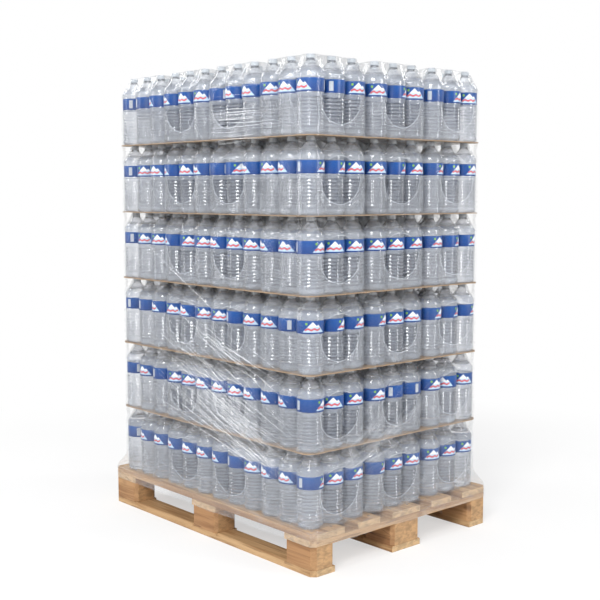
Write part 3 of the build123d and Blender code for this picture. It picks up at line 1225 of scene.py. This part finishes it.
def level_creases(mesh, sets, side, luck):
    """Nearly level creases round the top layer."""
    for _ in range(sets.creases // 5):
        z = luck.uniform(1.42, 1.62)
        start = (luck.uniform(0.0, 0.10), z + luck.uniform(-0.01, 0.01))
        end = (luck.uniform(0.24, 0.38), z)
        add_crease(mesh, side, start, end, luck.uniform(-0.006, 0.006), sets.crease_width)


class WATERPALLET_OT_wrap(bpy.types.Operator):
    """Wind clear stretch wrap round the load and over the deck's edge, with its creases"""

    bl_idname = "waterpallet.wrap"
    bl_label = "Stretch wrap"

    def execute(self, context):
        sets = context.scene.water_film
        clear = film_finish(
            "stretch wrap", haze=sets.wrap_haze, gloss=0.05, streak_scale=(3.0, 3.0, 14.0), streak_gain=0.08,
            mirror=0.22, skirt=0.05, turns=0.05,
        )
        crease = film_finish(
            "stretch wrap crease", haze=0.2, gloss=0.2, streak_scale=(40.0, 40.0, 40.0), streak_gain=0.2,
            mirror=0.5,
        )
        mesh = Mesh()
        add_wrap(mesh, random.Random(SEEDS["wrap"]))
        half_x, half_y, _ = wrap_half(WRAP_HIGH.z)
        luck = random.Random(SEEDS["creases"])
        for side in ("front", "back"):
            for fan in LONG_SIDE_FANS:
                fan_of_creases(mesh, sets, side, half_x - CREASE_CORNER, fan, sets.creases, luck)
            level_creases(mesh, sets, side, luck)
        for side in ("right", "left"):
            fewer = sets.creases * 2 // 3
            fan_of_creases(mesh, sets, side, CREASE_CORNER - half_y, SHORT_SIDE_FAN, fewer, luck)
        dress(mesh.build("stretch_wrap_film", [clear, crease]), "stretch_film", "stretch_wrap")
        return {"FINISHED"}


KNOT_BROWN = srgb(92, 56, 32)
CRACK_BROWN = srgb(70, 46, 30)


def wood_finish(name, light, dark, grain_axis, figure=0.6):
    """Sawn softwood: grain along one axis, growth lines, knots, cracks and darker end grain."""
    finish = Finish(name)
    vector = finish.place()

    def by_grain(lengthwise=2.2, across=46.0, finer=1.0):
        """A scale for each axis, low along the grain."""
        slow, quick = lengthwise * finer, across * finer
        return (slow, quick, quick) if grain_axis == "X" else (quick, slow, quick)

    grain = finish.noise(vector, by_grain(), detail=5.0, roughness=0.62, distortion=0.25)
    board = finish.noise(vector, by_grain(0.6, 7.0), detail=1.5)
    lines = finish.noise(vector, by_grain(finer=2.6), detail=2.0)
    speck = finish.noise(vector, 420.0, detail=2.0)
    split = finish.noise(vector, by_grain(finer=0.5), detail=1.0)
    rings = finish.noise(vector, (38.0, 38.0, 90.0), detail=3.0, distortion=0.6)
    cells = finish.add(
        "ShaderNodeTexVoronoi",
        None,
        {"Vector": finish.stretched(vector, by_grain(5.0, 9.0)), "Scale": 1.0, "Randomness": 1.0},
    )
    knot = 1 - Maths(finish, cells.outputs["Distance"]).ramp(0.06, 0.17)
    crack = (1 - abs(split - 0.5).ramp(0.0, 0.006)) * board.ramp(0.52, 0.6)
    facing = finish.parts_of(finish.add("ShaderNodeNewGeometry").outputs["Normal"])
    end_on = abs(facing["XY".index(grain_axis)])
    end_tone = finish.mixed(rings.ramp(0.3, 0.7), opaque(light, 0.62), opaque(light))
    tone = finish.mixed(grain.ramp(0.36, 0.62), opaque(dark), opaque(light))
    tone = finish.mixed(board.ramp(0.3, 0.7) * 0.5, tone, opaque(light, 0.8), "MULTIPLY")
    tone = finish.painted(
        tone,
        (lines.ramp(0.57, 0.66) * figure, opaque(dark, 0.6)),
        (knot * 0.9, opaque(KNOT_BROWN)),
        (crack * 0.8, opaque(CRACK_BROWN)),
        (speck.ramp(0.60, 0.78) * 0.35, opaque(dark, 0.5)),
        (end_on.ramp(0.6, 0.9), end_tone),
    )
    height = grain * 0.6 + lines * 0.25 + speck * 0.25
    normal = finish.bump(height, 1.2 * MM, 0.7)
    return finish.finish_with(finish.surface(Base_Color=tone, Roughness=grain * 0.2 + 0.58, Normal=normal))


WELD = 0.01 * MM
FLAT_ANGLE = math.radians(1)
SHARP_ANGLE = math.radians(20)


def worn_board(node, edge_round, finish):
    """A copy of a board or block with its edges worn round."""
    work = bmesh.new()
    work.from_mesh(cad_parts[node].data)
    bmesh.ops.remove_doubles(work, verts=work.verts, dist=WELD)
    bmesh.ops.dissolve_limit(work, angle_limit=FLAT_ANGLE, verts=work.verts, edges=work.edges)
    folds = [edge for edge in work.edges if len(edge.link_faces) == 2]
    sharp = [edge for edge in folds if edge.calc_face_angle() > SHARP_ANGLE]
    bmesh.ops.bevel(
        work, geom=sharp, offset=edge_round, segments=2, profile=0.6, affect="EDGES", clamp_overlap=True
    )
    bmesh.ops.triangulate(work, faces=[face for face in work.faces if len(face.verts) > 4])
    made = bpy.data.meshes.new("worn_" + node)
    work.to_mesh(made)
    work.free()
    made.materials.clear()
    made.materials.append(finish)
    return placed("worn_" + node, made)


class WATERPALLET_OT_timber(bpy.types.Operator):
    """Dress the pallet's boards and blocks in sawn wood with worn edges"""

    bl_idname = "waterpallet.timber"
    bl_label = "Boards and blocks"

    def execute(self, context):
        sets = context.scene.water_timber
        along = wood_finish("board wood along", sets.deck_light, sets.deck_dark, "X")
        across = wood_finish("board wood across", sets.deck_light, sets.deck_dark, "Y")
        block = wood_finish("block wood", sets.block_light, sets.block_dark, "X", figure=0.3)
        kinds = {
            "deck_board_": (along, "deck_wood"),
            "bottom_board_": (along, "deck_wood"),
            "cross_board_": (across, "deck_wood"),
            "block_": (block, "block_wood"),
        }
        for node in sorted(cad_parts):
            for kind, (finish, slot) in kinds.items():
                if node.startswith(kind):
                    dress(worn_board(node, sets.edge_round, finish), slot, node)
        return {"FINISHED"}


NAIL_SIDES = 8
NAIL_SHARES = ((-0.26, -0.28), (0.26, 0.28), (-0.22, 0.30), (0.22, -0.30))
NAIL_PROFILE = ((1.0, -1.0 * MM), (1.0, 0.3 * MM), (0.75, 0.7 * MM))


def nail_head(sets):
    mesh = Mesh()
    rings = [circle(sets.nail_radius * share, height, NAIL_SIDES) for share, height in NAIL_PROFILE]
    loops = mesh.rings(rings)
    mesh.fan(loops[-1], (0, 0, NAIL_PROFILE[-1][1]))
    return mesh.build("nail_head")


def nail_finish():
    finish = Finish("nail steel")
    rust = finish.noise(finish.place(), 180.0, detail=3.0)
    tone = finish.mixed(rust.ramp(0.45, 0.7), opaque(srgb(128, 126, 122)), opaque(srgb(112, 78, 54)))
    return finish.finish_with(finish.surface(Base_Color=tone, Metallic=0.8, Roughness=0.5))


class WATERPALLET_OT_nails(bpy.types.Operator):
    """Drive nails through the deck over each cross board"""

    bl_idname = "waterpallet.nails"
    bl_label = "Nails"

    def execute(self, context):
        head = nail_head(context.scene.water_timber)
        boards = [BOXES[node] for node in sorted(BOXES) if node.startswith("deck_board_")]
        crosses = [BOXES[node] for node in sorted(BOXES) if node.startswith("cross_board_")]
        places = []
        for low, high in boards:
            for cross_low, cross_high in crosses:
                for share_x, share_y in NAIL_SHARES:
                    x = (cross_low.x + cross_high.x) / 2 + share_x * (cross_high.x - cross_low.x)
                    y = (low.y + high.y) / 2 + share_y * (high.y - low.y)
                    places.append(((x, y, high.z), 0.0))
        dress(repeated("nail_heads", head, places, nail_finish()), "deck_wood")
        discard(head)
        return {"FINISHED"}


SHEET_COUNTS = (36, 48)
SHEET_RADIUS = 40 * MM
LEAST_RADIUS = 4 * MM
# Lines round a sheet: how far in from its edge, and the share of the edge's droop there.
SHEET_LINES = ((60 * MM, 0.0), (24 * MM, 0.35), (8 * MM, 0.8), (0.0, 1.0))


def kraft_finish(sets):
    finish = Finish("kraft board")
    vector = finish.place()
    fibre = finish.noise(vector, (30.0, 160.0, 160.0), detail=5.0, roughness=0.65)
    cloud = finish.noise(vector, 7.0, detail=2.0)
    tone = finish.mixed(fibre.ramp(0.3, 0.7), opaque(sets.kraft, 0.72), opaque(sets.kraft))
    tone = finish.mixed(cloud * 0.35, tone, opaque(srgb(198, 174, 148)))
    return finish.finish_with(
        finish.surface(Base_Color=tone, Roughness=0.85, Normal=finish.bump(fibre, 0.4 * MM, 0.6))
    )


class WATERPALLET_OT_sheets(bpy.types.Operator):
    """Lay a kraft sheet on each layer but the top one, its edge drooping between bottles"""

    bl_idname = "waterpallet.sheets"
    bl_label = "Layer sheets"

    def execute(self, context):
        sets = context.scene.water_timber
        finish = kraft_finish(sets)
        for layer in range(1, LAYERS):
            node = "layer_sheet_%d" % layer
            low, high = BOXES[node]
            wave = ripple(random.Random(SEEDS["sheets"] + layer), 5)
            top, bottom = [], []
            for inset, droop_share in SHEET_LINES:
                radius = max(LEAST_RADIUS, SHEET_RADIUS - inset)
                line = rounded_line(SHEET_HIGH.x - inset, SHEET_HIGH.y - inset, radius, SHEET_COUNTS)
                droops = [abs(wave(run, layer)) * sets.sheet_wave * droop_share for _, _, run in line]
                top.append([(p.x, p.y, high.z - droop) for (p, _, _), droop in zip(line, droops)])
                bottom.append([(p.x, p.y, low.z - droop) for (p, _, _), droop in zip(line, droops)])
            mesh = Mesh()
            mesh.shell(bottom + top[::-1], low.z, high.z)
            dress(mesh.build("kraft_sheet_%d" % layer, [finish], smooth=False), "kraft_sheet", node)
        return {"FINISHED"}


FLOOR_GREY = (0.93, 0.93, 0.93, 1.0)
FLOOR_FADE = (1.2, 2.6)
FLOOR_WHITE_SHARE = 0.55
SENSOR_WIDTH = 36.0
LAMP_TARGET = Vector((0.0, 0.0, 0.85))
# Soft lamps: where each hangs, its two sides in metres and its power in watts.
LAMPS = {
    "key": ((3.0, -4.2, 4.0), (2.2, 2.2), 270.0),
    "left": ((-2.8, -4.0, 1.8), (1.0, 2.6), 45.0),
    "right": ((4.6, 1.6, 2.0), (1.0, 2.6), 65.0),
    "top left": ((-2.4, -0.8, 2.9), (0.5, 1.6), 20.0),
    "top right": ((0.9, 2.7, 2.9), (0.4, 1.4), 20.0),
    "top": ((0.0, 0.0, 5.0), (3.0, 3.0), 50.0),
}


def white_world(sets):
    """White surroundings for the camera, mirrors and glass, and a softer light from them."""
    world = bpy.data.worlds.new("white studio")
    bpy.context.scene.world = world
    finish = Finish(world.name, world)
    light, seen = (
        finish.add("ShaderNodeBackground", None, {"Color": WHITE, "Strength": strength}).outputs[0]
        for strength in (sets.world_light, 1.0)
    )
    finish.finish_with(finish.blend(finish.seen_straight(), light, seen))


def floor_finish():
    """A white floor that keeps the object's shadow and meets the white surroundings further out."""
    finish = Finish("white floor")
    x, y, _ = finish.parts_of(finish.place())
    far = ((x * x + y * y) ** 0.5).ramp(*FLOOR_FADE)
    near = finish.surface(Base_Color=FLOOR_GREY, Roughness=0.9)
    white = finish.add("ShaderNodeEmission", None, {"Strength": 1.0}).outputs[0]
    share = finish.seen_straight() * (far * (1 - FLOOR_WHITE_SHARE) + FLOOR_WHITE_SHARE)
    return finish.finish_with(finish.blend(share, near, white))


def soft_lamp(name, place, size, power):
    """A large soft lamp that shines at the load."""
    data = bpy.data.lights.new(name, "AREA")
    data.shape = "RECTANGLE"
    data.size, data.size_y = size
    data.energy = power
    lamp = placed(name, data)
    lamp.location = place
    lamp.rotation_euler = (LAMP_TARGET - Vector(place)).to_track_quat("-Z", "Y").to_euler()
    lamp.visible_transmission = False


class WATERPALLET_OT_stage(bpy.types.Operator):
    """Set the floor, the white surroundings, the lamps and the camera"""

    bl_idname = "waterpallet.stage"
    bl_label = "Stage"

    def execute(self, context):
        scene = context.scene
        sets = scene.water_stage
        scene.view_settings.view_transform = "Standard"
        half = sets.floor_size / 2
        floor = Mesh()
        floor.face(floor.loop([(-half, -half, 0), (half, -half, 0), (half, half, 0), (-half, half, 0)]))
        floor.build("floor", [floor_finish()], smooth=False)
        white_world(sets)
        for name, (place, size, power) in LAMPS.items():
            soft_lamp(name, place, size, power)
        data = bpy.data.cameras.new("camera")
        data.lens = sets.lens
        data.sensor_width = SENSOR_WIDTH
        camera = placed("camera", data)
        camera.location = sets.camera_place
        camera.rotation_euler = (QUARTER_TURN - sets.camera_dip, 0.0, sets.camera_turn)
        scene.camera = camera
        return {"FINISHED"}


class WATERPALLET_PT_panel(bpy.types.Panel):
    """Lists the steps that build the dressed pallet"""

    bl_idname = "WATERPALLET_PT_panel"
    bl_label = "Water Pallet"
    bl_space_type = "VIEW_3D"
    bl_region_type = "UI"
    bl_category = "Water Pallet"

    def draw(self, context):
        for operator in OPERATORS:
            self.layout.operator(operator.bl_idname)
        for group_name in SETTINGS:
            group = getattr(context.scene, group_name)
            box = self.layout.box()
            for name in group.bl_rna.properties.keys():
                if name not in ("rna_type", "name"):
                    box.prop(group, name)


OPERATORS = (
    WATERPALLET_OT_timber,
    WATERPALLET_OT_nails,
    WATERPALLET_OT_bottles,
    WATERPALLET_OT_caps,
    WATERPALLET_OT_labels,
    WATERPALLET_OT_packs,
    WATERPALLET_OT_sheets,
    WATERPALLET_OT_wrap,
    WATERPALLET_OT_stage,
)
SETTINGS = {
    "water_bottle": BottleSettings,
    "water_film": FilmSettings,
    "water_timber": TimberSettings,
    "water_stage": StageSettings,
}


def register():
    for group in SETTINGS.values():
        bpy.utils.register_class(group)
    for operator in OPERATORS:
        bpy.utils.register_class(operator)
    bpy.utils.register_class(WATERPALLET_PT_panel)
    for name, group in SETTINGS.items():
        setattr(bpy.types.Scene, name, bpy.props.PointerProperty(type=group))


def unregister():
    for name in SETTINGS:
        delattr(bpy.types.Scene, name)
    bpy.utils.unregister_class(WATERPALLET_PT_panel)
    for operator in reversed(OPERATORS):
        bpy.utils.unregister_class(operator)
    for group in reversed(SETTINGS.values()):
        bpy.utils.unregister_class(group)


def main():
    register()
    bpy.ops.waterpallet.timber()
    bpy.ops.waterpallet.nails()
    bpy.ops.waterpallet.bottles()
    bpy.ops.waterpallet.caps()
    bpy.ops.waterpallet.labels()
    bpy.ops.waterpallet.packs()
    bpy.ops.waterpallet.sheets()
    bpy.ops.waterpallet.wrap()
    bpy.ops.waterpallet.stage()


if __name__ == "__main__":
    main()
